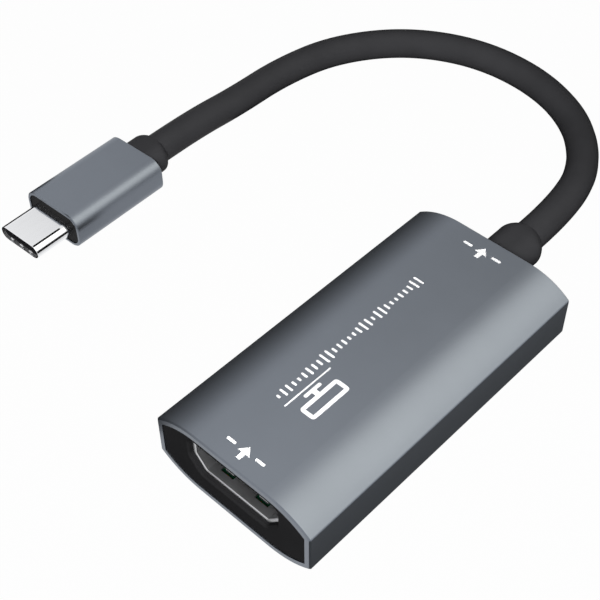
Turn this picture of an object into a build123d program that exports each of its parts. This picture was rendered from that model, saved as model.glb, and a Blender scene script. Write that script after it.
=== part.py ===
from build123d import *
import math
import os

# A video capture box: a grey aluminium sleeve round a circuit board, a video socket in one
# end and a short captive cable out of the other, with a small flat plug on the cable's end.
# Lengths are in millimetres. X runs across the box, Y from its input face to its cable end
# and Z up. The origin is the middle of the box's footprint, on the surface that it lies on.

# Housing sleeve, an extrusion with a flat top, falling shoulders and upright sides
body_length = 51.4
body_width = 26.0
body_height = 11.1
side_height = 6.2
flat_width = 12.0
sleeve_wall = 0.9
corner_round = 0.35
rim_bevel = 0.2

# Rails inside the sleeve that hold the board by its long edges
rail_reach = 0.9
rail_thickness = 0.7
rail_root = 0.2
rail_slot_gap = 0.1

# End bezels, black plastic plugs in the two ends of the sleeve
bezel_set_back = 0.15
bezel_plate = 1.5
bezel_skirt_depth = 1.0
bezel_skirt_wall = 1.0
bezel_gap = 0.05
window_gap = 0.15
window_bevel = 0.25

# Main board
board_thickness = 1.0
board_foot_drop = 0.095
board_side_gap = 0.25
board_front_gap = 0.1
board_rear_gap = 0.2
board_corner = 0.6
notch_gap = 0.6
leg_hole_gap = 0.1

# Video socket: its opening has the section of the usual full-size digital video socket
socket_opening_width = 14.0
socket_roof_gap = 1.45
socket_floor_width = 10.6
socket_upright = 2.6
socket_corner = 0.4
socket_sheet = 0.4
socket_depth = 11.0
socket_recess = 0.7
socket_mouth_bevel = 0.12
socket_spring_spacing = 5.9
socket_spring_window_width = 2.2
socket_spring_window_length = 4.6
socket_spring_window_start = 1.2
socket_spring_width = 1.5
socket_spring_tip_gap = 0.5
socket_spring_rise = 0.35
socket_spring_root = 0.3
socket_leg_width = 1.2
socket_leg_proud = 0.6
socket_leg_front = 3.2
socket_leg_spacing = 6.2
socket_block_depth = 2.8
socket_block_gap = 0.03
socket_tongue_width = 10.8
socket_tongue_thickness = 1.15
socket_tongue_drop = 1.65
socket_tongue_set_back = 2.1
socket_tongue_bevel = 0.2
socket_contact_pitch = 1.0
socket_upper_contact_count = 10
socket_lower_contact_count = 9
socket_contact_width = 0.3
socket_contact_sheet = 0.15
socket_contact_proud = 0.05
socket_contact_nose_gap = 0.5
socket_tail_gap = 0.25
socket_foot_length = 0.9

# Capture chip on the board's underside, and the soft pad that takes its heat to the sleeve
chip_side = 9.0
chip_height = 0.85
chip_bevel = 0.1
chip_dimple_radius = 0.4
chip_dimple_depth = 0.1
chip_dimple_inset = 1.2
chip_place_share = 0.465
pad_margin = 0.75

# Memory chip and voltage regulators, packages with bent leads
package_stand = 0.1
package_bevel = 0.12
lead_sheet = 0.15
lead_foot = 0.45
memory_width = 3.9
memory_length = 4.9
memory_height = 1.4
memory_lead_count = 4
memory_pitch = 1.27
memory_lead_width = 0.4
memory_lead_reach = 1.0
memory_place_shares = (-0.54, 0.3)
regulator_width = 1.6
regulator_length = 2.9
regulator_height = 1.0
regulator_lead_count = 3
regulator_pitch = 0.95
regulator_lead_width = 0.35
regulator_lead_reach = 0.6
regulator_place_shares = (0.7, 0.61)
regulator_spacing = 5.2

# Crystal, inductor and small passive parts on the board's top
crystal_width = 2.5
crystal_length = 3.2
crystal_base_height = 0.35
crystal_lid_height = 0.4
crystal_lid_inset = 0.2
crystal_corner = 0.3
crystal_place_shares = (0.05, 0.33)
inductor_side = 4.0
inductor_height = 2.1
inductor_corner = 0.8
inductor_foot_height = 0.25
inductor_foot_width = 1.0
inductor_place_shares = (0.555, 0.365)
capacitor_length = 1.6
capacitor_width = 0.8
capacitor_height = 0.8
capacitor_cap_length = 0.35
capacitor_cap_proud = 0.03
capacitor_column_count = 5
capacitor_row_count = 2
capacitor_pitch_x = 1.9
capacitor_pitch_y = 2.6
capacitor_place_shares = (-0.22, 0.57)
resistor_length = 1.0
resistor_width = 0.5
resistor_height = 0.35
resistor_cap_length = 0.2
resistor_cap_proud = 0.02
resistor_column_count = 8
resistor_row_count = 2
resistor_pitch_x = 1.3
resistor_pitch_y = 1.5
resistor_place_shares = (-0.22, 0.715)
esd_width = 1.0
esd_length = 2.5
esd_height = 0.5
esd_bevel = 0.08
esd_count = 3
esd_spacing = 3.6
esd_place_share = 0.135

# Insulating sheet on the sleeve's floor, under the socket's legs
sheet_thickness = 0.15
sheet_margin = 0.3
sheet_length = 17.0

# Cable, its screened core inside both strain reliefs, and the strain relief on the box
cable_diameter = 5.0
core_diameter = 4.2
mould_gap = 0.02
flange_width = 10.4
flange_gap = 0.15
flange_thickness = 1.2
flange_corner = 2.4
neck_gap = 0.05
collar_width = 7.2
collar_height = 5.8
collar_corner = 2.7
collar_length = 8.6
collar_nose = 2.4
collar_mid_share = 0.62
collar_mid_width = 6.7
collar_mid_height = 5.6
collar_mid_corner = 2.6
collar_end_width = 5.3
collar_end_height = 5.2
collar_end_corner = 2.5
core_stub = 2.6
crimp_wall = 0.5
crimp_length = 2.0

# Insulated wires from the core to the board
wire_diameter = 0.6
wire_pair_count = 4
wire_pair_spacing = 0.8
wire_row_spacing = 1.2
wire_bend = 0.7
wire_straight = 1.0
wire_land_pitch = 1.15
wire_land_length = 1.6
wire_drop_length = 3.2

# Plug: its shell has the section and length of the usual small reversible data plug
plug_x = -56.05
plug_mouth_y = -14.92
plug_turn = 2.0
plug_shell_width = 8.25
plug_shell_height = 2.4
plug_shell_sheet = 0.2
plug_shell_reach = 6.65
plug_shell_length = 9.0
plug_shell_lip = 0.08
plug_tab_length = 1.5
plug_tab_height = 1.0
plug_insulator_gap = 0.03
plug_nose_set_back = 0.25
plug_cavity_width = 6.75
plug_cavity_height = 0.95
plug_cavity_depth = 5.6
plug_cavity_corner = 0.2
plug_contact_count = 12
plug_contact_pitch = 0.5
plug_contact_width = 0.25
plug_contact_sheet = 0.12
plug_contact_tip = 1.5
plug_contact_tip_rise = 0.08
plug_contact_bow = 2.3
plug_contact_bow_rise = 0.18
plug_contact_root = 3.6
plug_contact_tail = 1.4
plug_contact_step = 0.4
plug_latch_sheet = 0.25
plug_latch_arm = 0.3
plug_latch_hook = 0.22
plug_latch_hook_start = 1.9
plug_latch_hook_length = 0.7
plug_latch_base = 0.6
plug_latch_base_gap = 0.4
plug_shield_sheet = 0.1
plug_shield_width = 5.8
plug_shield_start = 0.5
plug_shield_length = 1.2
plug_shield_pad_radius = 0.3
plug_shield_pad_spacing = 2.1
plug_shield_pad_count = 3
plug_shield_proud = 0.05

# Plug sleeve, its inner mould, board and strain relief
plug_width = 11.5
plug_height = 6.0
plug_length = 17.4
plug_wall = 0.5
plug_corner = 2.2
plug_rim_bevel = 0.12
plug_fit_gap = 0.03
mould_set_back = 0.1
mould_wall = 0.7
mould_edge = 0.15
plug_board_thickness = 0.6
plug_board_length = 6.8
plug_board_front_gap = 0.05
plug_board_side_gap = 0.03
plug_chip_side = 2.0
plug_chip_height = 0.7
plug_chip_spacing = 2.6
plug_parts_gap = 0.5
plug_flange_length = 3.0
plug_collar_gap = 0.05
plug_collar_width = 7.2
plug_collar_height = 5.2
plug_collar_corner = 2.3
plug_collar_length = 3.8
plug_collar_nose = 1.4
plug_collar_mid_share = 0.6
plug_collar_mid_width = 6.9
plug_collar_mid_height = 5.15
plug_collar_mid_corner = 2.3
plug_collar_end_width = 5.9
plug_collar_end_height = 5.05
plug_collar_end_corner = 2.3
plug_wire_pair_count = 4
plug_wire_spacing = 0.8
plug_wire_row_spacing = 1.3
plug_land_pitch = 1.5
plug_wire_land = 1.4
plug_wire_bend = 0.5
plug_wire_straight = 0.7

# One overrun for every cut
overrun = 0.5

# The cable runs straight out of both strain reliefs, and lies in a bow between these points
cable_box_run = 8.9
cable_plug_run = 8.3
cable_bow = [
    (-3.1, 54.3, 4.6),
    (-11.5, 64.5, 3.2),
    (-23.0, 69.7, 2.55),
    (-35.7, 69.3, 2.55),
    (-46.9, 63.4, 2.55),
    (-54.4, 53.2, 2.55),
    (-56.8, 42.0, 2.55),
    (-56.7, 31.0, 2.6),
]

# Places that follow from the sizes above
half_length = body_length / 2
half_width = body_width / 2
inner_half_width = half_width - sleeve_wall
shoulder_top = body_height / 2 + side_height / 2
shoulder_foot = body_height / 2 - side_height / 2
shoulder_run = half_width - flat_width / 2
shoulder_radius = (shoulder_run**2 + shoulder_foot**2) / (2 * shoulder_foot)
inner_shoulder_radius = shoulder_radius - sleeve_wall
inner_foot_fall = math.sqrt(inner_shoulder_radius**2 - (shoulder_run - sleeve_wall) ** 2)
inner_shoulder_foot = shoulder_radius - inner_foot_fall
input_face = -half_length + bezel_set_back
output_face = half_length - bezel_set_back
bezel_depth = bezel_plate + bezel_skirt_depth
board_underside = inner_shoulder_foot - board_foot_drop
board_top = board_underside + board_thickness
board_front = input_face + bezel_depth + board_front_gap
flange_inner = output_face - bezel_plate - flange_thickness
board_rear = flange_inner - board_rear_gap
board_half_width = inner_half_width - board_side_gap
port_mouth = input_face + socket_recess
port_rear = port_mouth + socket_depth
port_floor = board_top + socket_sheet
port_top = body_height - sleeve_wall - socket_roof_gap
core_inner = flange_inner - core_stub
cable_height = body_height / 2
flange_height = body_height - 2 * (sleeve_wall + bezel_gap + bezel_skirt_wall + flange_gap)
collar_end = half_length + collar_length
plug_axis_height = plug_height / 2
plug_front = plug_mouth_y + plug_shell_reach
plug_rear = plug_front + plug_length
plug_shell_rear = plug_mouth_y + plug_shell_length
plug_collar_end = plug_rear + plug_collar_length
plug_pose = Pos(plug_x, plug_front, 0) * Rot(0, 0, plug_turn) * Pos(-plug_x, -plug_front, 0)


def on_plug_axis(y):
    """The place on the turned plug's axis of the point that is at y before the turn."""
    place = (plug_pose * Pos(plug_x, y, plug_axis_height)).position
    return place.X, place.Y, place.Z


cable_route = [
    (0, collar_end, cable_height),
    (0, collar_end + cable_box_run, cable_height),
    *cable_bow,
    on_plug_axis(plug_collar_end + cable_plug_run),
    on_plug_axis(plug_collar_end),
]


def board_place(across_share, along_share):
    """A place on the board, in shares of its half width and of its length behind the socket."""
    return across_share * board_half_width, port_rear + along_share * (core_inner - port_rear)


def station(y):
    """The plane across the box at y, seen from the input end: its own Y is the box's Z."""
    return Plane.XZ.offset(-y)


def plug_station(y):
    """The plane across the plug at y, centred on the plug's axis."""
    return Plane(origin=(plug_x, y, plug_axis_height), x_dir=(1, 0, 0), z_dir=(0, -1, 0))


def housing_section(inset):
    """The housing's section, drawn in by inset on every side."""
    half_flat = flat_width / 2
    with BuildSketch() as section:
        with BuildLine():
            Line((-half_flat, body_height), (half_flat, body_height))
            TangentArc((half_flat, body_height), (half_width, shoulder_top), tangent=(1, 0))
            Line((half_width, shoulder_top), (half_width, shoulder_foot))
            TangentArc((half_flat, 0), (half_width, shoulder_foot), tangent=(1, 0))
            Line((half_flat, 0), (-half_flat, 0))
            TangentArc((-half_flat, 0), (-half_width, shoulder_foot), tangent=(-1, 0))
            Line((-half_width, shoulder_foot), (-half_width, shoulder_top))
            TangentArc((-half_flat, body_height), (-half_width, shoulder_top), tangent=(-1, 0))
        make_face()
        sides = section.vertices().group_by(Axis.X)
        fillet(sides[0] + sides[-1], radius=corner_round)
        if inset:
            offset(amount=-inset, kind=Kind.INTERSECTION)
    return section.sketch


def port_section(growth):
    """The socket's opening, wide above and narrow below, grown by growth on every side."""
    half_top = socket_opening_width / 2
    half_floor = socket_floor_width / 2
    with BuildSketch() as section:
        with BuildLine():
            Polyline(
                (-half_top, port_top),
                (half_top, port_top),
                (half_top, port_top - socket_upright),
                (half_floor, port_floor),
                (-half_floor, port_floor),
                (-half_top, port_top - socket_upright),
                close=True,
            )
        make_face()
        fillet(section.vertices(), radius=socket_corner)
        if growth:
            offset(amount=growth, kind=Kind.ARC)
    return section.sketch


def strip_section(points, sheet):
    """A bent strip seen from its edge: sheet thick, to the left of the line of points."""
    with BuildSketch() as section:
        with BuildLine():
            Polyline(*points)
            offset(amount=sheet, side=Side.LEFT, kind=Kind.INTERSECTION)
        make_face()
    return section.sketch


def row_places(count, pitch):
    """Places of count pieces in a row, a pitch apart and centred on zero."""
    return [(index - (count - 1) / 2) * pitch for index in range(count)]


def chip_capacitor(length, width, height, cap_length, cap_proud):
    """A small passive part with a metal cap on each end, standing on z = 0."""
    middle = length - 2 * cap_length
    with BuildPart() as passive:
        with Locations((0, 0, cap_proud)):
            Box(width, middle, height, align=(Align.CENTER, Align.CENTER, Align.MIN))
        for side in (-1, 1):
            with Locations((0, side * (middle + cap_length) / 2, 0)):
                Box(
                    width + 2 * cap_proud,
                    cap_length,
                    height + 2 * cap_proud,
                    align=(Align.CENTER, Align.CENTER, Align.MIN),
                )
    return passive.part


def leaded_package(width, length, height, lead_count, pitch, lead_width, lead_reach):
    """A moulded package with a row of bent leads along each long side, standing on z = 0."""
    lead_rise = package_stand + height / 2
    lead_out = lead_reach - lead_foot
    with BuildPart() as package:
        with BuildSketch(Plane.XY.offset(package_stand)):
            Rectangle(width, length)
        extrude(amount=height)
        chamfer(package.faces().sort_by(Axis.Z)[-1].edges(), length=package_bevel)
        for side in (-1, 1):
            lead_path = [
                (side * (width / 2 - package_bevel), lead_rise),
                (side * (width / 2 + lead_out), lead_rise),
                (side * (width / 2 + lead_out), 0),
                (side * (width / 2 + lead_reach), 0),
            ]
            if side < 0:
                lead_path = lead_path[::-1]
            lead = strip_section(lead_path, lead_sheet)
            for y in row_places(lead_count, pitch):
                with BuildSketch(Plane.XZ.offset(-y - lead_width / 2)):
                    add(lead)
                extrude(amount=lead_width)
    return package.part


def corner_radii(points):
    """Each corner's radius: 0.45 of the shorter run beside it, over the tangent of half the turn."""
    corners = [Vector(*point) for point in points]
    radii = []
    for before, corner, after in zip(corners, corners[1:], corners[2:]):
        turn = math.radians((corner - before).get_angle(after - corner))
        shorter_run = min((corner - before).length, (after - corner).length)
        radii.append(0.45 * shorter_run / math.tan(turn / 2))
    return radii


# Housing sleeve: the extruded tube, with a pair of rails in each side wall
with BuildPart() as housing_sleeve:
    with BuildSketch(station(-half_length)):
        add(housing_section(0))
        add(housing_section(sleeve_wall), mode=Mode.SUBTRACT)
    extrude(amount=-body_length)
    rail_centres = (
        board_underside - rail_thickness / 2,
        board_top + rail_slot_gap + rail_thickness / 2,
    )
    with BuildSketch(station(input_face + bezel_depth)):
        for side in (-1, 1):
            rail_x = side * (inner_half_width + (rail_root - rail_reach) / 2)
            with Locations(*[(rail_x, z) for z in rail_centres]):
                Rectangle(rail_reach + rail_root, rail_thickness)
    extrude(amount=-(body_length - 2 * (bezel_set_back + bezel_depth)))
    rims = housing_sleeve.faces().sort_by(Axis.Y)
    chamfer([rims[0].outer_wire().edges(), rims[-1].outer_wire().edges()], length=rim_bevel)

# Input bezel: a plate with a window for the socket and a skirt that stands on the rails
with BuildPart() as input_bezel:
    with BuildSketch(station(input_face)):
        add(housing_section(sleeve_wall + bezel_gap))
    extrude(amount=-bezel_plate)
    with BuildSketch(station(input_face + bezel_plate)):
        add(housing_section(sleeve_wall + bezel_gap))
        add(housing_section(sleeve_wall + bezel_gap + bezel_skirt_wall), mode=Mode.SUBTRACT)
    extrude(amount=-bezel_skirt_depth)
    with BuildSketch(station(input_face)):
        add(port_section(socket_sheet + window_gap))
    extrude(amount=-(bezel_plate + overrun), mode=Mode.SUBTRACT)
    front_face = input_bezel.faces().sort_by(Axis.Y)[0]
    chamfer(front_face.inner_wires()[0].edges(), length=window_bevel)

# Output bezel: the same plug, with a hole for the neck of the strain relief
with BuildPart() as output_bezel:
    with BuildSketch(station(output_face - bezel_plate)):
        add(housing_section(sleeve_wall + bezel_gap))
        with Locations((0, cable_height)):
            RectangleRounded(
                collar_width + 2 * neck_gap,
                collar_height + 2 * neck_gap,
                collar_corner + neck_gap,
                mode=Mode.SUBTRACT,
            )
    extrude(amount=-bezel_plate)
    with BuildSketch(station(output_face - bezel_depth)):
        add(housing_section(sleeve_wall + bezel_gap))
        add(housing_section(sleeve_wall + bezel_gap + bezel_skirt_wall), mode=Mode.SUBTRACT)
    extrude(amount=-bezel_skirt_depth)

# Socket shell: folded sheet with two springs in its floor, two in its top and four legs
with BuildPart() as socket_shell:
    with BuildSketch(station(port_mouth)):
        add(port_section(socket_sheet))
        add(port_section(0), mode=Mode.SUBTRACT)
    extrude(amount=-socket_depth)
    mouth_face = socket_shell.faces().sort_by(Axis.Y)[0]
    chamfer(mouth_face.inner_wires()[0].edges(), length=socket_mouth_bevel)
    window_y = port_mouth + socket_spring_window_start + socket_spring_window_length / 2
    window_end = window_y + socket_spring_window_length / 2
    spring_tip = port_mouth + socket_spring_window_start + socket_spring_tip_gap
    spring_peak = spring_tip + socket_spring_tip_gap
    for wall_top, inward in ((port_floor, 1), (port_top + socket_sheet, -1)):
        with BuildSketch(Plane.XY.offset(wall_top)):
            with Locations((0, window_y)):
                with GridLocations(socket_spring_spacing, 0, 2, 1):
                    Rectangle(socket_spring_window_width, socket_spring_window_length)
        extrude(amount=-socket_sheet, mode=Mode.SUBTRACT)
        outer = wall_top - socket_sheet if inward > 0 else wall_top
        inner = outer + inward * socket_sheet
        peak_rise = inward * socket_spring_rise
        for x in row_places(2, socket_spring_spacing):
            with BuildSketch(Plane.YZ.offset(x - socket_spring_width / 2)):
                with BuildLine():
                    Polyline(
                        (window_end + socket_spring_root, outer),
                        (window_end, outer),
                        (spring_peak, outer + peak_rise),
                        (spring_tip, outer),
                        (spring_tip, inner),
                        (spring_peak, inner + peak_rise),
                        (window_end, inner),
                        (window_end + socket_spring_root, inner),
                        close=True,
                    )
                make_face()
            extrude(amount=socket_spring_width)
    leg_top = port_top - socket_upright
    leg_foot = board_underside - socket_leg_proud
    leg_x = socket_opening_width / 2 + socket_sheet / 2
    leg_y = port_mouth + socket_leg_front + socket_leg_spacing / 2
    with BuildSketch(Plane.XY.offset(leg_foot)):
        with Locations((0, leg_y)):
            with GridLocations(2 * leg_x, socket_leg_spacing, 2, 2):
                Rectangle(socket_sheet, socket_leg_width)
    extrude(amount=leg_top - leg_foot)

# Socket contacts: ten above the tongue and nine below, with tails that step down to the board
tongue_top = port_top - socket_tongue_drop
tongue_floor = tongue_top - socket_tongue_thickness
tongue_nose = port_mouth + socket_tongue_set_back
with BuildPart() as socket_contacts:
    contact_start = tongue_nose + socket_contact_nose_gap
    tail_y = port_rear + socket_tail_gap
    upper_face = tongue_top + socket_contact_proud
    lower_face = tongue_floor - socket_contact_proud
    upper_strip = strip_section(
        [
            (contact_start, upper_face - socket_contact_sheet),
            (tail_y, upper_face - socket_contact_sheet),
            (tail_y, board_top),
            (tail_y + socket_foot_length, board_top),
        ],
        socket_contact_sheet,
    )
    lower_strip = strip_section(
        [
            (contact_start, lower_face),
            (tail_y, lower_face),
            (tail_y, board_top),
            (tail_y + socket_foot_length, board_top),
        ],
        socket_contact_sheet,
    )
    for count, strip in ((socket_upper_contact_count, upper_strip), (socket_lower_contact_count, lower_strip)):
        for x in row_places(count, socket_contact_pitch):
            with BuildSketch(Plane.YZ.offset(x - socket_contact_width / 2)):
                add(strip)
            extrude(amount=socket_contact_width)

# Socket insulator: a block that closes the shell's rear and a tongue that carries the contacts
with BuildPart() as socket_insulator:
    with BuildSketch(station(port_rear - socket_block_depth)):
        add(port_section(-socket_block_gap))
    extrude(amount=-socket_block_depth)
    with BuildSketch(station(tongue_nose)):
        with Locations((0, tongue_top - socket_tongue_thickness / 2)):
            Rectangle(socket_tongue_width, socket_tongue_thickness)
    extrude(amount=-(port_rear - socket_block_depth / 2 - tongue_nose))
    nose_face = socket_insulator.faces().sort_by(Axis.Y)[0]
    chamfer(nose_face.edges(), length=socket_tongue_bevel)
    add(socket_contacts.part, mode=Mode.SUBTRACT)

# Main board: slides between the rails, with leg holes and a notch for the cable's core
with BuildPart() as main_board:
    with BuildSketch(Plane.XY.offset(board_underside)):
        with Locations((0, (board_front + board_rear) / 2)):
            RectangleRounded(2 * board_half_width, board_rear - board_front, board_corner)
        with Locations((0, leg_y)):
            with GridLocations(2 * leg_x, socket_leg_spacing, 2, 2):
                Rectangle(
                    socket_sheet + 2 * leg_hole_gap,
                    socket_leg_width + 2 * leg_hole_gap,
                    mode=Mode.SUBTRACT,
                )
        notch_depth = board_rear - core_inner + notch_gap
        with Locations((0, board_rear - notch_depth / 2)):
            Rectangle(
                core_diameter + 2 * (crimp_wall + notch_gap),
                notch_depth,
                mode=Mode.SUBTRACT,
            )
    extrude(amount=board_thickness)

# Capture chip: a flat package under the board, with a dimple that marks its first pin
chip_underside = board_underside - chip_height
chip_place = board_place(0, chip_place_share)
with BuildPart() as capture_chip:
    with BuildSketch(Plane.XY.offset(chip_underside)):
        with Locations(chip_place):
            Rectangle(chip_side, chip_side)
    extrude(amount=chip_height)
    chamfer(capture_chip.faces().sort_by(Axis.Z)[0].edges(), length=chip_bevel)
    dimple_x = chip_side / 2 - chip_dimple_inset
    with BuildSketch(Plane.XY.offset(chip_underside)):
        with Locations((chip_place[0] + dimple_x, chip_place[1] - dimple_x)):
            Circle(chip_dimple_radius)
    extrude(amount=chip_dimple_depth, mode=Mode.SUBTRACT)

# Thermal pad: fills the space between the chip and the sleeve's floor
with BuildPart() as thermal_pad:
    with BuildSketch(Plane.XY.offset(sleeve_wall)):
        with Locations(chip_place):
            Rectangle(chip_side - 2 * pad_margin, chip_side - 2 * pad_margin)
    extrude(amount=chip_underside - sleeve_wall)

# Memory chip, beside the crystal
with BuildPart() as flash_memory:
    with Locations((*board_place(*memory_place_shares), board_top)):
        add(
            leaded_package(
                memory_width,
                memory_length,
                memory_height,
                memory_lead_count,
                memory_pitch,
                memory_lead_width,
                memory_lead_reach,
            )
        )

# Voltage regulators: two small packages one behind the other
with BuildPart() as voltage_regulators:
    regulator_x, regulator_y = board_place(*regulator_place_shares)
    for y in row_places(2, regulator_spacing):
        with Locations((regulator_x, regulator_y + y, board_top)):
            add(
                leaded_package(
                    regulator_width,
                    regulator_length,
                    regulator_height,
                    regulator_lead_count,
                    regulator_pitch,
                    regulator_lead_width,
                    regulator_lead_reach,
                )
            )

# Crystal: a ceramic base with a metal lid
with BuildPart() as crystal:
    with BuildSketch(Plane.XY.offset(board_top)):
        with Locations(board_place(*crystal_place_shares)):
            Rectangle(crystal_length, crystal_width)
    extrude(amount=crystal_base_height)
    with BuildSketch(Plane.XY.offset(board_top + crystal_base_height)):
        with Locations(board_place(*crystal_place_shares)):
            RectangleRounded(
                crystal_length - 2 * crystal_lid_inset,
                crystal_width - 2 * crystal_lid_inset,
                crystal_corner,
            )
    extrude(amount=crystal_lid_height)

# Power inductor: a bevelled ferrite body on two metal feet
with BuildPart() as power_inductor:
    with BuildSketch(Plane.XY.offset(board_top + inductor_foot_height)) as inductor_body:
        with Locations(board_place(*inductor_place_shares)):
            Rectangle(inductor_side, inductor_side)
        chamfer(inductor_body.vertices(), length=inductor_corner)
    extrude(amount=inductor_height - inductor_foot_height)
    with BuildSketch(Plane.XY.offset(board_top)):
        with Locations(board_place(*inductor_place_shares)):
            with GridLocations(0, inductor_side - inductor_foot_width, 1, 2):
                Rectangle(inductor_side - 2 * inductor_corner, inductor_foot_width)
    extrude(amount=inductor_foot_height)

# Ceramic capacitors: two rows across the board
with BuildPart() as ceramic_capacitors:
    with Locations((*board_place(*capacitor_place_shares), board_top)):
        with GridLocations(capacitor_pitch_x, capacitor_pitch_y, capacitor_column_count, capacitor_row_count):
            add(
                chip_capacitor(
                    capacitor_length,
                    capacitor_width,
                    capacitor_height,
                    capacitor_cap_length,
                    capacitor_cap_proud,
                )
            )

# Chip resistors: two rows nearer the cable
with BuildPart() as chip_resistors:
    with Locations((*board_place(*resistor_place_shares), board_top)):
        with GridLocations(resistor_pitch_x, resistor_pitch_y, resistor_column_count, resistor_row_count):
            add(
                chip_capacitor(
                    resistor_length,
                    resistor_width,
                    resistor_height,
                    resistor_cap_length,
                    resistor_cap_proud,
                )
            )

# Surge protection arrays: a row of flat packages behind the socket
with BuildPart() as esd_arrays:
    with BuildSketch(Plane.XY.offset(board_top)):
        with Locations(board_place(0, esd_place_share)):
            with GridLocations(esd_spacing, 0, esd_count, 1):
                Rectangle(esd_length, esd_width)
    extrude(amount=esd_height)
    chamfer(esd_arrays.faces().group_by(Axis.Z)[-1].edges(), length=esd_bevel)

# Insulating sheet: lies on the sleeve's floor below the socket's legs
with BuildPart() as insulating_sheet:
    with BuildSketch(Plane.XY.offset(sleeve_wall)):
        with Locations((0, board_front + sheet_length / 2)):
            Rectangle(flat_width - 2 * sheet_margin, sheet_length)
    extrude(amount=sheet_thickness)

# Strain relief on the box: a flange behind the bezel, a neck, a collar and a rounded nose
with BuildPart() as box_strain_relief:
    with BuildSketch(station(flange_inner)):
        with Locations((0, cable_height)):
            RectangleRounded(flange_width, flange_height, flange_corner)
    extrude(amount=-flange_thickness)
    with BuildSketch(station(flange_inner + flange_thickness)):
        with Locations((0, cable_height)):
            RectangleRounded(collar_width, collar_height, collar_corner)
    extrude(amount=-(collar_end - collar_nose - flange_inner - flange_thickness))
    nose_sections = (
        (0, collar_width, collar_height, collar_corner),
        (collar_mid_share, collar_mid_width, collar_mid_height, collar_mid_corner),
        (1, collar_end_width, collar_end_height, collar_end_corner),
    )
    for share, width, height, corner in nose_sections:
        with BuildSketch(station(collar_end - collar_nose * (1 - share))):
            with Locations((0, cable_height)):
                RectangleRounded(width, height, corner)
    loft()
    with BuildSketch(station(flange_inner - overrun)):
        with Locations((0, cable_height)):
            Circle(core_diameter / 2 + mould_gap)
    extrude(amount=-(collar_end - flange_inner + 2 * overrun), mode=Mode.SUBTRACT)

# The cable's screened core inside the strain relief, and the ring crimped on it
with BuildPart() as box_cable_core:
    with BuildSketch(station(core_inner)):
        with Locations((0, cable_height)):
            Circle(core_diameter / 2)
    extrude(amount=-(collar_end - core_inner))

with BuildPart() as box_crimp_ring:
    with BuildSketch(station(flange_inner - crimp_length)):
        with Locations((0, cable_height)):
            Circle(core_diameter / 2 + crimp_wall)
            Circle(core_diameter / 2 + mould_gap, mode=Mode.SUBTRACT)
    extrude(amount=-crimp_length)

# Insulated wires: they leave the core in two rows and land in one row on the board
wire_radius = wire_diameter / 2
land_z = board_top + wire_radius
with BuildPart() as box_wires:
    starts = [
        (x, cable_height + z)
        for x in row_places(wire_pair_count, wire_pair_spacing)
        for z in row_places(2, wire_row_spacing)
    ]
    lands = row_places(2 * wire_pair_count, wire_land_pitch)
    for (start_x, start_z), land_x in zip(starts, lands):
        with BuildLine() as wire_line:
            FilletPolyline(
                (start_x, core_inner, start_z),
                (start_x, core_inner - wire_straight, start_z),
                (land_x, core_inner - wire_straight - wire_drop_length, land_z),
                (land_x, core_inner - wire_straight - wire_drop_length - wire_land_length, land_z),
                radius=wire_bend,
            )
        with BuildSketch(station(core_inner)):
            with Locations((start_x, start_z)):
                Circle(wire_radius)
        sweep(path=wire_line.line)

# Cable: its free length, straight runs joined by arcs
with BuildPart() as cable:
    with BuildLine() as cable_line:
        FilletPolyline(*cable_route, radius=corner_radii(cable_route))
    with BuildSketch(Plane(origin=cable_route[0], x_dir=(1, 0, 0), z_dir=(0, 1, 0))):
        Circle(cable_diameter / 2)
    sweep(path=cable_line.line)

# Plug shell: a drawn tube with full round sides, and two tabs that hold the plug's board
with BuildPart() as plug_shell:
    with BuildSketch(plug_station(plug_mouth_y)):
        SlotOverall(plug_shell_width, plug_shell_height)
    extrude(amount=-plug_shell_length)
    front_edges = plug_shell.faces().sort_by(Axis.Y)[0].edges()
    fillet(front_edges, radius=plug_shell_lip)
    with BuildSketch(plug_station(plug_mouth_y)):
        SlotOverall(plug_shell_width - 2 * plug_shell_sheet, plug_shell_height - 2 * plug_shell_sheet)
    extrude(amount=-plug_shell_length, mode=Mode.SUBTRACT)
    with BuildSketch(plug_station(plug_shell_rear)):
        with GridLocations(plug_shell_width - plug_shell_sheet, 0, 2, 1):
            Rectangle(plug_shell_sheet, plug_tab_height)
    extrude(amount=-plug_tab_length)

# Plug contacts: bowed into the cavity near their tips, with tails on the plug's board
plug_roof = plug_cavity_height / 2
board_half = plug_board_thickness / 2
tail_start = plug_shell_rear + plug_contact_step


def plug_contact_row(face):
    """A row of contacts in the cavity's roof, or in its floor where face is -1."""
    contact_path = [
        (plug_mouth_y + plug_contact_tip, plug_roof - plug_contact_tip_rise),
        (plug_mouth_y + plug_contact_bow, plug_roof - plug_contact_bow_rise),
        (plug_mouth_y + plug_contact_root, plug_roof),
        (plug_shell_rear, plug_roof),
        (tail_start, board_half),
        (tail_start + plug_contact_tail, board_half),
    ]
    strip = strip_section(contact_path, plug_contact_sheet)
    first_x = plug_x - plug_contact_width / 2
    with BuildPart() as row:
        for x in row_places(plug_contact_count, plug_contact_pitch):
            with BuildSketch(Plane.YZ.offset(first_x + x)):
                if face > 0:
                    add(strip)
                else:
                    add(strip.mirror(Plane.XZ))
            extrude(amount=plug_contact_width)
    return row.part.translate((0, 0, plug_axis_height))


with BuildPart() as plug_contacts_upper:
    add(plug_contact_row(1))

with BuildPart() as plug_contacts_lower:
    add(plug_contact_row(-1))

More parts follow.
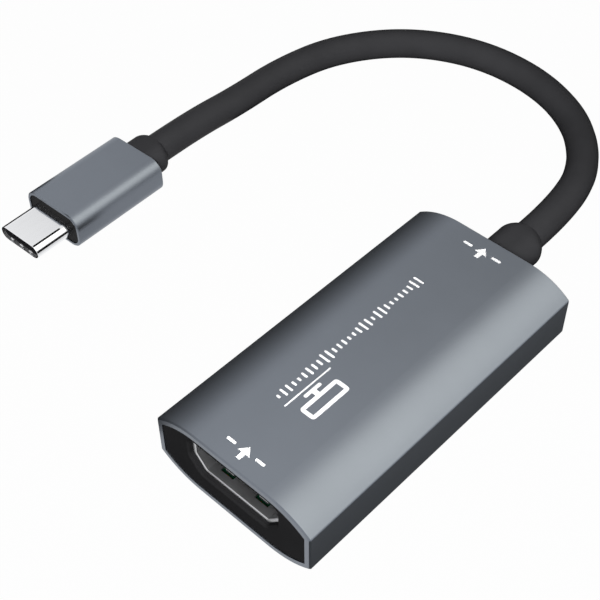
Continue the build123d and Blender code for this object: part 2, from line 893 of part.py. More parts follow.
# Plug latch: one stamped spring in the middle plane, with a hook on each side of the cavity
with BuildPart() as plug_latch_spring:
    latch_inner = plug_cavity_width / 2
    latch_outer = latch_inner + plug_latch_arm
    hook_start = plug_mouth_y + plug_latch_hook_start
    base_start = plug_mouth_y + plug_nose_set_back + plug_cavity_depth + plug_latch_base_gap
    base_end = base_start + plug_latch_base
    with BuildSketch(Plane.XY.offset(plug_axis_height - plug_latch_sheet / 2)):
        with BuildLine():
            Polyline(
                (plug_x + latch_outer, hook_start),
                (plug_x + latch_outer, base_end),
                (plug_x - latch_outer, base_end),
                (plug_x - latch_outer, hook_start),
                (plug_x - latch_inner, hook_start),
                (plug_x - latch_inner + plug_latch_hook, hook_start + plug_latch_hook_length / 2),
                (plug_x - latch_inner, hook_start + plug_latch_hook_length),
                (plug_x - latch_inner, base_start),
                (plug_x + latch_inner, base_start),
                (plug_x + latch_inner, hook_start + plug_latch_hook_length),
                (plug_x + latch_inner - plug_latch_hook, hook_start + plug_latch_hook_length / 2),
                (plug_x + latch_inner, hook_start),
                close=True,
            )
        make_face()
    extrude(amount=plug_latch_sheet)

# Shield springs: a strip above and one below the plug's mouth, with pads that show inside it
shell_inner_half = plug_shell_height / 2 - plug_shell_sheet
with BuildPart() as plug_shield_springs:
    strip_y = plug_mouth_y + plug_shield_start + plug_shield_length / 2
    pad_end = plug_cavity_height / 2 - plug_shield_proud
    for side in (-1, 1):
        with BuildSketch(Plane.XY.offset(plug_axis_height + side * shell_inner_half)):
            with Locations((plug_x, strip_y)):
                Rectangle(plug_shield_width, plug_shield_length)
        extrude(amount=-side * plug_shield_sheet)
        with BuildSketch(Plane.XY.offset(plug_axis_height + side * pad_end)):
            with Locations((plug_x, strip_y)):
                with GridLocations(plug_shield_pad_spacing, 0, plug_shield_pad_count, 1):
                    Circle(plug_shield_pad_radius)
        extrude(amount=side * (shell_inner_half - pad_end))

# Plug insulator: fills the shell round the cavity and holds contacts, latch and springs
with BuildPart() as plug_insulator:
    insulator_front = plug_mouth_y + plug_nose_set_back
    with BuildSketch(plug_station(insulator_front)):
        SlotOverall(
            plug_shell_width - 2 * (plug_shell_sheet + plug_insulator_gap),
            plug_shell_height - 2 * (plug_shell_sheet + plug_insulator_gap),
        )
    extrude(amount=-(plug_shell_rear - insulator_front))
    with BuildSketch(plug_station(insulator_front)):
        RectangleRounded(plug_cavity_width, plug_cavity_height, plug_cavity_corner)
    extrude(amount=-plug_cavity_depth, mode=Mode.SUBTRACT)
    add(plug_contacts_upper.part, mode=Mode.SUBTRACT)
    add(plug_contacts_lower.part, mode=Mode.SUBTRACT)
    add(plug_latch_spring.part, mode=Mode.SUBTRACT)
    add(plug_shield_springs.part, mode=Mode.SUBTRACT)

# Plug sleeve: a short grey aluminium tube
with BuildPart() as plug_sleeve:
    with BuildSketch(plug_station(plug_front)):
        RectangleRounded(plug_width, plug_height, plug_corner)
        RectangleRounded(
            plug_width - 2 * plug_wall,
            plug_height - 2 * plug_wall,
            plug_corner - plug_wall,
            mode=Mode.SUBTRACT,
        )
    extrude(amount=-plug_length)
    plug_rims = plug_sleeve.faces().sort_by(Axis.Y)
    chamfer([plug_rims[0].outer_wire().edges(), plug_rims[-1].outer_wire().edges()], length=plug_rim_bevel)

# Plug board, between the two rows of contact tails
plug_board_front = plug_shell_rear + plug_board_front_gap
plug_board_rear = plug_board_front + plug_board_length
with BuildPart() as plug_board:
    with BuildSketch(Plane.XY.offset(plug_axis_height - board_half)):
        with Locations((plug_x, plug_board_front + plug_board_length / 2)):
            Rectangle(plug_shell_width - 2 * (plug_shell_sheet + plug_board_side_gap), plug_board_length)
    extrude(amount=plug_board_thickness)

# Parts on the plug's board: one small chip between two resistors
plug_board_top = plug_axis_height + board_half
plug_parts_y = tail_start + plug_contact_tail + plug_parts_gap + plug_chip_side / 2
with BuildPart() as plug_board_parts:
    with BuildSketch(Plane.XY.offset(plug_board_top)):
        with Locations((plug_x, plug_parts_y)):
            Rectangle(plug_chip_side, plug_chip_side)
    extrude(amount=plug_chip_height)
    with Locations((plug_x, plug_parts_y, plug_board_top)):
        with GridLocations(2 * plug_chip_spacing - plug_chip_side / 2, 0, 2, 1):
            add(
                chip_capacitor(
                    resistor_length,
                    resistor_width,
                    resistor_height,
                    resistor_cap_length,
                    resistor_cap_proud,
                )
            )

# Inner mould: a black block that closes the sleeve's front and walls in the plug's board
mould_front = plug_front + mould_set_back
plug_flange_front = plug_rear - plug_flange_length
plug_inner_width = plug_width - 2 * (plug_wall + plug_fit_gap)
plug_inner_height = plug_height - 2 * (plug_wall + plug_fit_gap)
plug_inner_corner = plug_corner - plug_wall - plug_fit_gap
with BuildPart() as plug_inner_mould:
    with BuildSketch(plug_station(mould_front)):
        RectangleRounded(plug_inner_width, plug_inner_height, plug_inner_corner)
    extrude(amount=-(plug_flange_front - mould_front))
    fillet(plug_inner_mould.faces().sort_by(Axis.Y)[0].edges(), radius=mould_edge)
    with BuildSketch(plug_station(plug_shell_rear)):
        RectangleRounded(
            plug_inner_width - 2 * mould_wall,
            plug_inner_height - 2 * mould_wall,
            plug_inner_corner - mould_wall,
        )
    extrude(amount=-(plug_flange_front - plug_shell_rear), mode=Mode.SUBTRACT)
    with BuildSketch(plug_station(mould_front)):
        SlotOverall(plug_shell_width + 2 * mould_gap, plug_shell_height + 2 * mould_gap)
    extrude(amount=-(plug_shell_rear - mould_front), mode=Mode.SUBTRACT)

# Strain relief on the plug: a flange inside the sleeve and a collar seated on the sleeve's rear
with BuildPart() as plug_strain_relief:
    with BuildSketch(plug_station(plug_flange_front)):
        RectangleRounded(plug_inner_width, plug_inner_height, plug_inner_corner)
    extrude(amount=-(plug_flange_length + plug_collar_gap))
    with BuildSketch(plug_station(plug_rear + plug_collar_gap)):
        RectangleRounded(plug_collar_width, plug_collar_height, plug_collar_corner)
    extrude(amount=-(plug_collar_length - plug_collar_nose - plug_collar_gap))
    plug_nose_sections = (
        (0, plug_collar_width, plug_collar_height, plug_collar_corner),
        (plug_collar_mid_share, plug_collar_mid_width, plug_collar_mid_height, plug_collar_mid_corner),
        (1, plug_collar_end_width, plug_collar_end_height, plug_collar_end_corner),
    )
    for share, width, height, corner in plug_nose_sections:
        with BuildSketch(plug_station(plug_collar_end - plug_collar_nose * (1 - share))):
            RectangleRounded(width, height, corner)
    loft()
    with BuildSketch(plug_station(plug_flange_front)):
        Circle(core_diameter / 2 + mould_gap)
    extrude(amount=-(plug_collar_end - plug_flange_front), mode=Mode.SUBTRACT)

with BuildPart() as plug_cable_core:
    with BuildSketch(plug_station(plug_flange_front)):
        Circle(core_diameter / 2)
    extrude(amount=-(plug_collar_end - plug_flange_front))

# Wires in the plug: half of them land on the board's top and half on its underside
with BuildPart() as plug_wires:
    plug_land_z = board_half + wire_radius
    plug_wire_starts = row_places(plug_wire_pair_count, plug_wire_spacing)
    plug_wire_lands = row_places(plug_wire_pair_count, plug_land_pitch)
    for start_x, land_x in zip(plug_wire_starts, plug_wire_lands):
        for side in (-1, 1):
            start_z = plug_axis_height + side * plug_wire_row_spacing / 2
            side_land_z = plug_axis_height + side * plug_land_z
            with BuildLine() as wire_line:
                FilletPolyline(
                    (plug_x + start_x, plug_flange_front, start_z),
                    (plug_x + start_x, plug_flange_front - plug_wire_straight, start_z),
                    (plug_x + land_x, plug_board_rear - plug_wire_straight, side_land_z),
                    (plug_x + land_x, plug_board_rear - plug_wire_straight - plug_wire_land, side_land_z),
                    radius=plug_wire_bend,
                )
            with BuildSketch(station(plug_flange_front)):
                with Locations((plug_x + start_x, start_z)):
                    Circle(wire_radius)
            sweep(path=wire_line.line)

pieces = {
    "housing_sleeve": housing_sleeve,
    "input_bezel": input_bezel,
    "output_bezel": output_bezel,
    "socket_shell": socket_shell,
    "socket_insulator": socket_insulator,
    "socket_contacts": socket_contacts,
    "main_board": main_board,
    "capture_chip": capture_chip,
    "thermal_pad": thermal_pad,
    "flash_memory": flash_memory,
    "voltage_regulators": voltage_regulators,
    "crystal": crystal,
    "power_inductor": power_inductor,
    "ceramic_capacitors": ceramic_capacitors,
    "chip_resistors": chip_resistors,
    "esd_arrays": esd_arrays,
    "insulating_sheet": insulating_sheet,
    "box_strain_relief": box_strain_relief,
    "box_cable_core": box_cable_core,
    "box_crimp_ring": box_crimp_ring,
    "box_wires": box_wires,
    "cable": cable,
    "plug_shell": plug_shell,
    "plug_contacts_upper": plug_contacts_upper,
    "plug_contacts_lower": plug_contacts_lower,
    "plug_latch_spring": plug_latch_spring,
    "plug_shield_springs": plug_shield_springs,
    "plug_insulator": plug_insulator,
    "plug_sleeve": plug_sleeve,
    "plug_board": plug_board,
    "plug_board_parts": plug_board_parts,
    "plug_inner_mould": plug_inner_mould,
    "plug_strain_relief": plug_strain_relief,
    "plug_cable_core": plug_cable_core,
    "plug_wires": plug_wires,
}

# The plug's pieces are built square to the box, and lie turned a little about an upright line
os.makedirs("parts", exist_ok=True)
for name, piece in pieces.items():
    solid = piece.part.moved(plug_pose) if name.startswith("plug_") else piece.part
    solid.label = name
    export_step(solid, f"parts/{name}.step")

cable_length = cable_line.wires()[0].length
cable_tube_volume = cable_length * math.pi * cable_diameter**2 / 4
print("cable radii:", [round(radius, 1) for radius in corner_radii(cable_route)])
print("cable length:", round(cable_length, 2))
print("cable volume:", round(cable.part.volume, 2))
print("section times length:", round(cable_tube_volume, 2))
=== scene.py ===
"""Finishes, cable, printed marks and studio for a video capture box."""

import math

import bpy
from mathutils import Matrix, Vector


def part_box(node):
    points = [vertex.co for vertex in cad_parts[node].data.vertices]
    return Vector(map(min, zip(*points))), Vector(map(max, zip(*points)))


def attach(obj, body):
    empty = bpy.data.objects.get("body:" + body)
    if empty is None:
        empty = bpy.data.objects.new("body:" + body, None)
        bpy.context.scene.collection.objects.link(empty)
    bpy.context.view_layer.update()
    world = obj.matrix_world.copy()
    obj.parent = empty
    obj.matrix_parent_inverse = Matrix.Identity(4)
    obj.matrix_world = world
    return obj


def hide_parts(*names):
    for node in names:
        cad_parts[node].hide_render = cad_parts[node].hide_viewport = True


bl_info = {
    "name": "Video Capture Box",
    "version": (1, 0, 0),
    "blender": (4, 5, 0),
    "location": "3D View > Sidebar > Capture Box",
    "description": "Finishes, cable, printed marks and studio for a video capture box",
    "category": "Object",
}

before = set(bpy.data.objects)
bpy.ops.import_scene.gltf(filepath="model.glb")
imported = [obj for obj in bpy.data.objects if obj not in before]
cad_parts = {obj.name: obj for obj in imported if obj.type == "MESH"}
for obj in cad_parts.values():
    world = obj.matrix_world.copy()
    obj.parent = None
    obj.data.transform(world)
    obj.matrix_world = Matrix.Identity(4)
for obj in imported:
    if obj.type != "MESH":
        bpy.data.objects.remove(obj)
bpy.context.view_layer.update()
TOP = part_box("housing_sleeve")[1][2]
MM = 0.001

# The cable's route from the box's strain relief to the plug's, in metres
CABLE_ROUTE = [
    (0.0, 0.0343, 0.00555),
    (0.0, 0.0432, 0.00555),
    (-0.0031, 0.0543, 0.0046),
    (-0.0115, 0.0645, 0.0032),
    (-0.023, 0.0697, 0.00255),
    (-0.0357, 0.0693, 0.00255),
    (-0.0469, 0.0634, 0.00255),
    (-0.0544, 0.0532, 0.00255),
    (-0.0568, 0.042, 0.00255),
    (-0.0567, 0.031, 0.0026),
    (-0.05708, 0.021212, 0.003),
    (-0.05679, 0.012917, 0.003),
]

# The middle of the plug's mouth, and the turn of the plug on the floor
PLUG_MOUTH = Vector((-0.055818, -0.014916, 0.003))
PLUG_ANGLE = math.radians(2)
PLUG_TURN = Matrix.Rotation(PLUG_ANGLE, 3, "Z")

# The floor's side, and how far it lies under the box, so that the two don't flicker
FLOOR_SIDE = 4.0
FLOOR_DROP = 0.02 * MM

# The share of the floor that is plain white, so that the rest can take the shadow
FLOOR_WHITE = 0.98

# The camera, solved from the corners of the box in the photograph: its place, its azimuth,
# elevation and roll in degrees, and its lens and film in millimetres
CAMERA_PLACE = (0.064256, -0.0805, 0.12924)
CAMERA_ANGLES = (43.719, 46.911, -0.654)
CAMERA_LENS = 73.37
CAMERA_FILM = 36.0

# The width in metres of one band of a Wave texture at a scale of 1
WAVE_BAND = 0.314

# The colour sockets of a Mix node
MIX_A, MIX_B, MIX_RESULT = 6, 7, 2


def linear(hex_colour):
    """The linear colour of an sRGB hex value."""
    parts = [int(hex_colour[place : place + 2], 16) / 255 for place in (1, 3, 5)]
    turned = [c / 12.92 if c <= 0.04045 else ((c + 0.055) / 1.055) ** 2.4 for c in parts]
    return (*turned, 1.0)


def shade(colour, share):
    """A colour made darker or lighter by a share."""
    return (*(c * share for c in colour[:3]), 1.0)


def add_node(tree, kind, values=None, links=None, **settings):
    """Adds a node with its settings, its inputs' values and the outputs that its inputs take."""
    node = tree.nodes.new(kind)
    for name, setting in settings.items():
        setattr(node, name, setting)
    for name, value in (values or {}).items():
        node.inputs[name].default_value = value
    for name, output in (links or {}).items():
        tree.links.new(output, node.inputs[name])
    return node.outputs


def new_surface(name):
    """An empty material, its tree, and the piece's own coordinates in metres."""
    material = bpy.data.materials.new(name)
    material.use_nodes = True
    tree = material.node_tree
    tree.nodes.clear()
    return material, tree, add_node(tree, "ShaderNodeTexCoord")["Object"]


def close_surface(tree, colour, roughness, height, depth, values):
    """Ends a material: height makes a relief, depth metres deep, and all goes to the shader."""
    relief = add_node(tree, "ShaderNodeBump", {"Distance": depth}, {"Height": height})["Normal"]
    links = {"Base Color": colour, "Roughness": roughness, "Normal": relief}
    shader = add_node(tree, "ShaderNodeBsdfPrincipled", values, links)["BSDF"]
    add_node(tree, "ShaderNodeOutputMaterial", None, {"Surface": shader})


def anodised_aluminium(name, colour):
    """Extruded aluminium, bead blasted, anodised and dyed: an even satin with a soft sheen.

    The beads leave pits of 0.1 mm, drawn here at 0.16 mm so that they show. The dye lies a
    little uneven over some millimetres.
    """
    material, tree, place = new_surface(name)
    cloud = add_node(
        tree, "ShaderNodeTexNoise", {"Scale": 1 / (7 * MM), "Detail": 3.0}, {"Vector": place}
    )["Fac"]
    pits = add_node(
        tree, "ShaderNodeTexNoise", {"Scale": 1 / (0.16 * MM), "Detail": 2.0}, {"Vector": place}
    )["Fac"]
    dye = add_node(
        tree,
        "ShaderNodeMix",
        {MIX_A: shade(colour, 0.95), MIX_B: shade(colour, 1.05)},
        {"Factor": cloud},
        data_type="RGBA",
    )[MIX_RESULT]
    satin = add_node(
        tree, "ShaderNodeMapRange", {"To Min": 0.36, "To Max": 0.46}, {"Value": pits}
    )["Result"]
    close_surface(tree, dye, satin, pits, 0.002 * MM, {"Metallic": 1.0})
    return material


def plated_sheet(name, colour, smooth, rough, wave):
    """Sheet metal under plating: smooth, with the faint unevenness that the rollers leave.

    Smooth and rough are its least and most roughness. Wave is the unevenness's width in metres
    along the sheet. Across it is a tenth of that.
    """
    material, tree, place = new_surface(name)
    turned = add_node(
        tree,
        "ShaderNodeMapping",
        {"Scale": (10 / wave, 1 / wave, 10 / wave)},
        {"Vector": place},
    )["Vector"]
    rolled = add_node(
        tree, "ShaderNodeTexNoise", {"Scale": 1.0, "Detail": 1.0}, {"Vector": turned}
    )["Fac"]
    tint = add_node(
        tree,
        "ShaderNodeMix",
        {MIX_A: shade(colour, 0.97), MIX_B: shade(colour, 1.03)},
        {"Factor": rolled},
        data_type="RGBA",
    )[MIX_RESULT]
    gloss = add_node(
        tree, "ShaderNodeMapRange", {"To Min": smooth, "To Max": rough}, {"Value": rolled}
    )["Result"]
    close_surface(tree, tint, gloss, rolled, 0.0002 * MM, {"Metallic": 1.0})
    return material


def moulded_plastic(name, colour, smooth, rough, texture, values):
    """Moulded plastic or rubber: the grain of the mould's eroded steel, in an uneven colour.

    Smooth and rough are its least and most roughness. Texture is the grain's width in metres.
    The colour wanders over some millimetres.
    """
    material, tree, place = new_surface(name)
    cloud = add_node(
        tree, "ShaderNodeTexNoise", {"Scale": 1 / (5 * MM), "Detail": 2.0}, {"Vector": place}
    )["Fac"]
    eroded = add_node(
        tree, "ShaderNodeTexNoise", {"Scale": 1 / texture, "Detail": 3.0}, {"Vector": place}
    )["Fac"]
    tint = add_node(
        tree,
        "ShaderNodeMix",
        {MIX_A: shade(colour, 0.85), MIX_B: shade(colour, 1.15)},
        {"Factor": cloud},
        data_type="RGBA",
    )[MIX_RESULT]
    gloss = add_node(
        tree, "ShaderNodeMapRange", {"To Min": smooth, "To Max": rough}, {"Value": eroded}
    )["Result"]
    close_surface(tree, tint, gloss, eroded, 0.004 * MM, values)
    return material


def solder_mask(name, colour):
    """Glass-epoxy board under glossy solder mask: copper tracks 0.4 mm apart show through."""
    material, tree, place = new_surface(name)
    tracks = add_node(
        tree,
        "ShaderNodeTexBrick",
        {
            "Color1": (1, 1, 1, 1),
            "Color2": (0.6, 0.6, 0.6, 1),
            "Mortar": (0, 0, 0, 1),
            "Scale": 1.0,
            "Mortar Size": 0.1 * MM,
            "Brick Width": 2.1 * MM,
            "Row Height": 0.4 * MM,
        },
        {"Vector": place},
    )["Color"]
    mask = add_node(
        tree,
        "ShaderNodeMix",
        {MIX_A: shade(colour, 0.6), MIX_B: colour},
        {"Factor": tracks},
        data_type="RGBA",
    )[MIX_RESULT]
    gloss = add_node(
        tree, "ShaderNodeMapRange", {"To Min": 0.34, "To Max": 0.24}, {"Value": tracks}
    )["Result"]
    close_surface(tree, mask, gloss, tracks, 0.02 * MM, {"Coat Weight": 0.3})
    return material


def braided_screen(name, colour):
    """Tinned copper braid: two sets of bundles 0.4 mm wide that cross at a slant."""
    material, tree, place = new_surface(name)
    sets = []
    for slant in (0.7, -0.7):
        turned = add_node(
            tree, "ShaderNodeMapping", {"Rotation": (slant, 0, slant)}, {"Vector": place}
        )["Vector"]
        wave = {"Scale": WAVE_BAND / (0.4 * MM), "Distortion": 0.3}
        sets.append(add_node(tree, "ShaderNodeTexWave", wave, {"Vector": turned})["Fac"])
    weave = add_node(
        tree, "ShaderNodeMath", None, {0: sets[0], 1: sets[1]}, operation="MAXIMUM"
    )["Value"]
    tint = add_node(
        tree,
        "ShaderNodeMix",
        {MIX_A: shade(colour, 0.4), MIX_B: colour},
        {"Factor": weave},
        data_type="RGBA",
    )[MIX_RESULT]
    gloss = add_node(
        tree, "ShaderNodeMapRange", {"To Min": 0.45, "To Max": 0.25}, {"Value": weave}
    )["Result"]
    close_surface(tree, tint, gloss, weave, 0.05 * MM, {"Metallic": 1.0})
    return material


def printed_ink(name, colour):
    """Screen print: an opaque satin film with the slight orange peel of a mesh of 0.25 mm."""
    material, tree, place = new_surface(name)
    peel = add_node(
        tree, "ShaderNodeTexNoise", {"Scale": 1 / (0.25 * MM), "Detail": 2.0}, {"Vector": place}
    )["Fac"]
    tint = add_node(
        tree,
        "ShaderNodeMix",
        {MIX_A: shade(colour, 0.94), MIX_B: colour},
        {"Factor": peel},
        data_type="RGBA",
    )[MIX_RESULT]
    gloss = add_node(
        tree, "ShaderNodeMapRange", {"To Min": 0.45, "To Max": 0.6}, {"Value": peel}
    )["Result"]
    close_surface(tree, tint, gloss, peel, 0.003 * MM, {})
    return material


def seen_directly(tree):
    """1 where the camera, a mirror or glass looks, and 0 where light is only gathered."""
    path = add_node(tree, "ShaderNodeLightPath")
    seen = path["Is Camera Ray"]
    for ray in ("Is Glossy Ray", "Is Transmission Ray"):
        seen = add_node(
            tree, "ShaderNodeMath", None, {0: seen, 1: path[ray]}, operation="MAXIMUM"
        )["Value"]
    return seen


def white_paper(name, colour, white_share):
    """The floor's paper: white where it is seen, with a share that takes the shadow.

    It is clear from below, so that the underside of the object can be looked at.
    """
    material, tree, place = new_surface(name)
    share = add_node(
        tree, "ShaderNodeMath", {1: white_share}, {0: seen_directly(tree)}, operation="MULTIPLY"
    )["Value"]
    fibre = add_node(
        tree, "ShaderNodeTexNoise", {"Scale": 1 / (20 * MM), "Detail": 4.0}, {"Vector": place}
    )["Fac"]
    tint = add_node(
        tree,
        "ShaderNodeMix",
        {MIX_A: shade(colour, 0.98), MIX_B: colour},
        {"Factor": fibre},
        data_type="RGBA",
    )[MIX_RESULT]
    paper = add_node(tree, "ShaderNodeBsdfDiffuse", None, {"Color": tint})["BSDF"]
    white = add_node(tree, "ShaderNodeEmission", {"Color": (1, 1, 1, 1), "Strength": 1.0})
    above = add_node(
        tree, "ShaderNodeMixShader", None, {0: share, 1: paper, 2: white["Emission"]}
    )["Shader"]
    clear = add_node(tree, "ShaderNodeBsdfTransparent")["BSDF"]
    below = add_node(tree, "ShaderNodeNewGeometry")["Backfacing"]
    mixed = add_node(tree, "ShaderNodeMixShader", None, {0: below, 1: above, 2: clear})["Shader"]
    add_node(tree, "ShaderNodeOutputMaterial", None, {"Surface": mixed})
    return material


def shining_card(name, light):
    """A card that shines on its face only, evenly or shaded along an axis.

    Light is a strength, or else an axis, where on it in mm the shading starts and ends, and
    the strengths there.
    """
    material, tree, place = new_surface(name)
    values, links = {"Color": (1, 1, 1, 1)}, {}
    if isinstance(light, tuple):
        axis, start, end, first, last = light
        along = add_node(tree, "ShaderNodeSeparateXYZ", None, {"Vector": place})[axis]
        links["Strength"] = add_node(
            tree,
            "ShaderNodeMapRange",
            {"From Min": start * MM, "From Max": end * MM, "To Min": first, "To Max": last},
            {"Value": along},
        )["Result"]
    else:
        values["Strength"] = light
    face = add_node(tree, "ShaderNodeEmission", values, links)["Emission"]
    clear = add_node(tree, "ShaderNodeBsdfTransparent")["BSDF"]
    behind = add_node(tree, "ShaderNodeNewGeometry")["Backfacing"]
    mixed = add_node(tree, "ShaderNodeMixShader", None, {0: behind, 1: face, 2: clear})["Shader"]
    add_node(tree, "ShaderNodeOutputMaterial", None, {"Surface": mixed})
    return material


def give(node_names, material):
    """Puts one material on every slot of the named parts."""
    for name in node_names:
        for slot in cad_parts[name].material_slots:
            slot.material = material


def only(piece):
    """Selects one piece, and nothing else, and makes it active."""
    bpy.ops.object.select_all(action="DESELECT")
    piece.select_set(True)
    bpy.context.view_layer.objects.active = piece


def flat_plate(width, length, corner):
    """A flat plate with rounded corners, centred on the origin."""
    bpy.ops.object.select_all(action="DESELECT")
    bpy.ops.mesh.primitive_plane_add(size=1.0)
    plate = bpy.context.object
    plate.scale = (width, length, 1.0)
    bpy.ops.object.transform_apply(location=True, rotation=True, scale=True)
    bpy.ops.object.mode_set(mode="EDIT")
    bpy.ops.mesh.select_all(action="SELECT")
    bpy.ops.mesh.bevel(offset=corner, segments=4, affect="VERTICES")
    bpy.ops.object.mode_set(mode="OBJECT")
    return plate


def flat_outline(width, length, corner, line):
    """A flat outline with rounded corners: a plate whose inside is taken out."""
    outline = flat_plate(width, length, corner)
    bpy.ops.object.mode_set(mode="EDIT")
    bpy.ops.mesh.select_mode(type="FACE")
    bpy.ops.mesh.select_all(action="SELECT")
    bpy.ops.mesh.inset(thickness=line)
    bpy.ops.mesh.delete(type="FACE")
    bpy.ops.object.mode_set(mode="OBJECT")
    return outline


def flat_arrow(head_width, head_length, shaft_length):
    """A flat arrow along +Y: a triangle whose base is cut in three, the middle drawn out."""
    bpy.ops.object.select_all(action="DESELECT")
    bpy.ops.mesh.primitive_circle_add(vertices=3, radius=1.0, fill_type="NGON")
    mark = bpy.context.object
    mark.dimensions = (head_width, head_length, 0.0)
    bpy.ops.object.transform_apply(location=True, rotation=True, scale=True)
    points = mark.data.vertices

    def base_edges():
        """The edges on the triangle's base, each with how far its middle is from the axis."""
        low = min(point.co.y for point in points)
        found = []
        for edge in mark.data.edges:
            ends = [points[index].co for index in edge.vertices]
            if all(end.y < low + 0.05 * head_length for end in ends):
                found.append((abs(ends[0].x + ends[1].x), edge))
        return found

    bpy.ops.object.mode_set(mode="EDIT")
    bpy.ops.mesh.select_mode(type="EDGE")
    bpy.ops.mesh.select_all(action="DESELECT")
    bpy.ops.object.mode_set(mode="OBJECT")
    base_edges()[0][1].select = True
    bpy.ops.object.mode_set(mode="EDIT")
    bpy.ops.mesh.subdivide(number_cuts=2)
    bpy.ops.mesh.select_all(action="DESELECT")
    bpy.ops.object.mode_set(mode="OBJECT")
    points = mark.data.vertices
    min(base_edges(), key=lambda found: found[0])[1].select = True
    bpy.ops.object.mode_set(mode="EDIT")
    bpy.ops.mesh.extrude_edges_move(TRANSFORM_OT_translate={"value": (0, -shaft_length, 0)})
    bpy.ops.object.mode_set(mode="OBJECT")
    return mark


def place_flat(piece, x, y):
    """Puts a flat shape at a place on the top of the box."""
    piece.location = (x, y, 0)
    only(piece)
    bpy.ops.object.transform_apply(location=True, rotation=True, scale=True)
    return piece


def print_mark(parts, name, film, ink):
    """Joins flat shapes to one mark, lays it on the top and gives it the film's thickness."""
    bpy.ops.object.select_all(action="DESELECT")
    for part in parts:
        part.select_set(True)
    mark = parts[0]
    bpy.context.view_layer.objects.active = mark
    if len(parts) > 1:
        bpy.ops.object.join()
    mark.location = (0, 0, TOP)
    only(mark)
    bpy.ops.object.transform_apply(location=True, rotation=True, scale=True)
    layer = mark.modifiers.new("film", "SOLIDIFY")
    layer.thickness = film
    # At 0.6 four fifths of the film stand over the sleeve, and one fifth lies in it
    layer.offset = 0.6
    bpy.ops.object.modifier_apply(modifier=layer.name)
    mark.name = name
    mark.data.name = name
    mark.data.materials.append(ink)
    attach(mark, "root")


class CableSettings(bpy.types.PropertyGroup):
    """The cable's size and colour."""

    diameter: bpy.props.FloatProperty(
        name="Diameter",
        description="Outer diameter of the cable's jacket",
        default=5 * MM,
        unit="LENGTH",
    )
    colour: bpy.props.FloatVectorProperty(
        name="Colour",
        description="Colour of the jacket and of the strain reliefs",
        default=linear("#373739"),
        size=4,
        subtype="COLOR",
    )


class FinishSettings(bpy.types.PropertyGroup):
    """Colours of the finishes that show most."""

    sleeves: bpy.props.FloatVectorProperty(
        name="Sleeves",
        description="Dye of the anodised sleeves",
        default=linear("#7A8089"),
        size=4,
        subtype="COLOR",
    )
    bezels: bpy.props.FloatVectorProperty(
        name="Bezels",
        description="Plastic of the bezels and of the plug's inner mould",
        default=linear("#212122"),
        size=4,
        subtype="COLOR",
    )
    plating: bpy.props.FloatVectorProperty(
        name="Plating",
        description="Bright plating of the plug's shell",
        default=linear("#EDEEF0"),
        size=4,
        subtype="COLOR",
    )


class MarkSettings(bpy.types.PropertyGroup):
    """Sizes of the marks printed on the top."""

    film: bpy.props.FloatProperty(
        name="Film",
        description="Thickness of the ink",
        default=0.03 * MM,
        unit="LENGTH",
    )
    line: bpy.props.FloatProperty(
        name="Line",
        description="Width of the printed lines",
        default=0.42 * MM,
        unit="LENGTH",
    )
    bars: bpy.props.IntProperty(
        name="Bars",
        description="Number of bars in the row of levels",
        default=30,
    )
    ink: bpy.props.FloatVectorProperty(
        name="Ink",
        description="Colour of the ink",
        default=linear("#F4F4F5"),
        size=4,
        subtype="COLOR",
    )


class StudioSettings(bpy.types.PropertyGroup):
    """Colours and lamps of the studio."""

    paper: bpy.props.FloatVectorProperty(
        name="Paper",
        description="Colour of the floor",
        default=linear("#8A8A8A"),
        size=4,
        subtype="COLOR",
    )
    key_power: bpy.props.FloatProperty(
        name="Key power",
        description="Power of the lamp near the camera",
        default=1.3,
        unit="POWER",
    )
    soft_power: bpy.props.FloatProperty(
        name="Soft power",
        description="Power of the large soft lamp behind the box on the right",
        default=1.15,
        unit="POWER",
    )
    room_strength: bpy.props.FloatProperty(
        name="Room strength",
        description="Strength of the even light from all round",
        default=0.03,
    )


